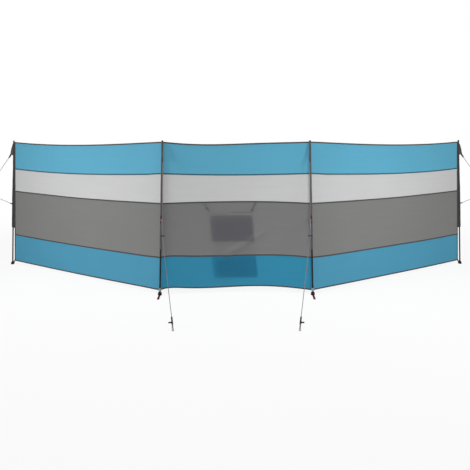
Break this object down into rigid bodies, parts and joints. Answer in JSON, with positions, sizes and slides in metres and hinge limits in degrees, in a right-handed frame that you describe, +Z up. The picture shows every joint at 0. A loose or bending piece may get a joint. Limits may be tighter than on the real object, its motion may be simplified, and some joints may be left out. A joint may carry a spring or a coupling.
{
  "type": "beach windbreak",
  "caption": "Three-bay cloth windbreak on leaning poles, wings swept back, with Y-shaped guy lines and a hanging organiser behind the middle bay.",
  "frame": {"origin": "on the ground, in the middle of the flat underside of the left inner pole's foot, left and right as seen from the front", "axes": "+X along the middle bay to the right, +Y to the back, where the wings are swept, +Z up"},
  "size_m": [6.8516, 2.3401, 1.2549],
  "materials": {
    "blue_cloth": "smooth woven polyester",
    "pale_cloth": "smooth woven polyester",
    "grey_cloth": "smooth woven polyester",
    "dark_tape": "woven binding tape",
    "steel_tube": "dark coated steel tube",
    "red_webbing": "woven webbing",
    "black_webbing": "woven webbing",
    "black_plastic": "moulded, slightly shiny",
    "guy_cord": "braided cord",
    "organiser_cloth": "thin woven polyester",
    "pocket_cloth": "woven polyester"
  },
  "bodies": {
    "root": {"left_top_band": "blue_cloth", "left_pale_band": "pale_cloth", "left_grey_band": "grey_cloth", "left_bottom_band": "blue_cloth", "middle_top_band": "blue_cloth", "middle_pale_band": "pale_cloth", "middle_grey_band": "grey_cloth", "middle_bottom_band": "blue_cloth", "right_top_band": "blue_cloth", "right_pale_band": "pale_cloth", "right_grey_band": "grey_cloth", "right_bottom_band": "blue_cloth", "left_bay_tapes": "dark_tape", "middle_bay_tapes": "dark_tape", "right_bay_tapes": "dark_tape", "edge_bindings": "dark_tape", "corner_seams": "dark_tape", "left_end_sleeve": "dark_tape", "left_inner_sleeve": "dark_tape", "right_inner_sleeve": "dark_tape", "right_end_sleeve": "dark_tape", "left_end_pole": "steel_tube", "left_inner_pole": "steel_tube", "right_inner_pole": "steel_tube", "right_end_pole": "steel_tube", "pole_caps": "black_plastic", "left_end_foot": "black_plastic", "left_inner_foot": "black_plastic", "right_inner_foot": "black_plastic", "right_end_foot": "black_plastic", "foot_straps": "black_webbing", "peg_loops": "red_webbing", "guy_patches": "dark_tape", "patch_loops": "red_webbing", "mid_loops": "red_webbing", "left_end_guy": "guy_cord", "left_front_guy": "guy_cord", "right_front_guy": "guy_cord", "right_end_guy": "guy_cord", "guy_junctions": "black_plastic", "guy_runners": "black_plastic", "organiser_back": "organiser_cloth", "organiser_top_hem": "dark_tape", "upper_pocket": "pocket_cloth", "lower_pocket": "pocket_cloth", "organiser_straps": "black_webbing"}
  },
  "joints": []
}
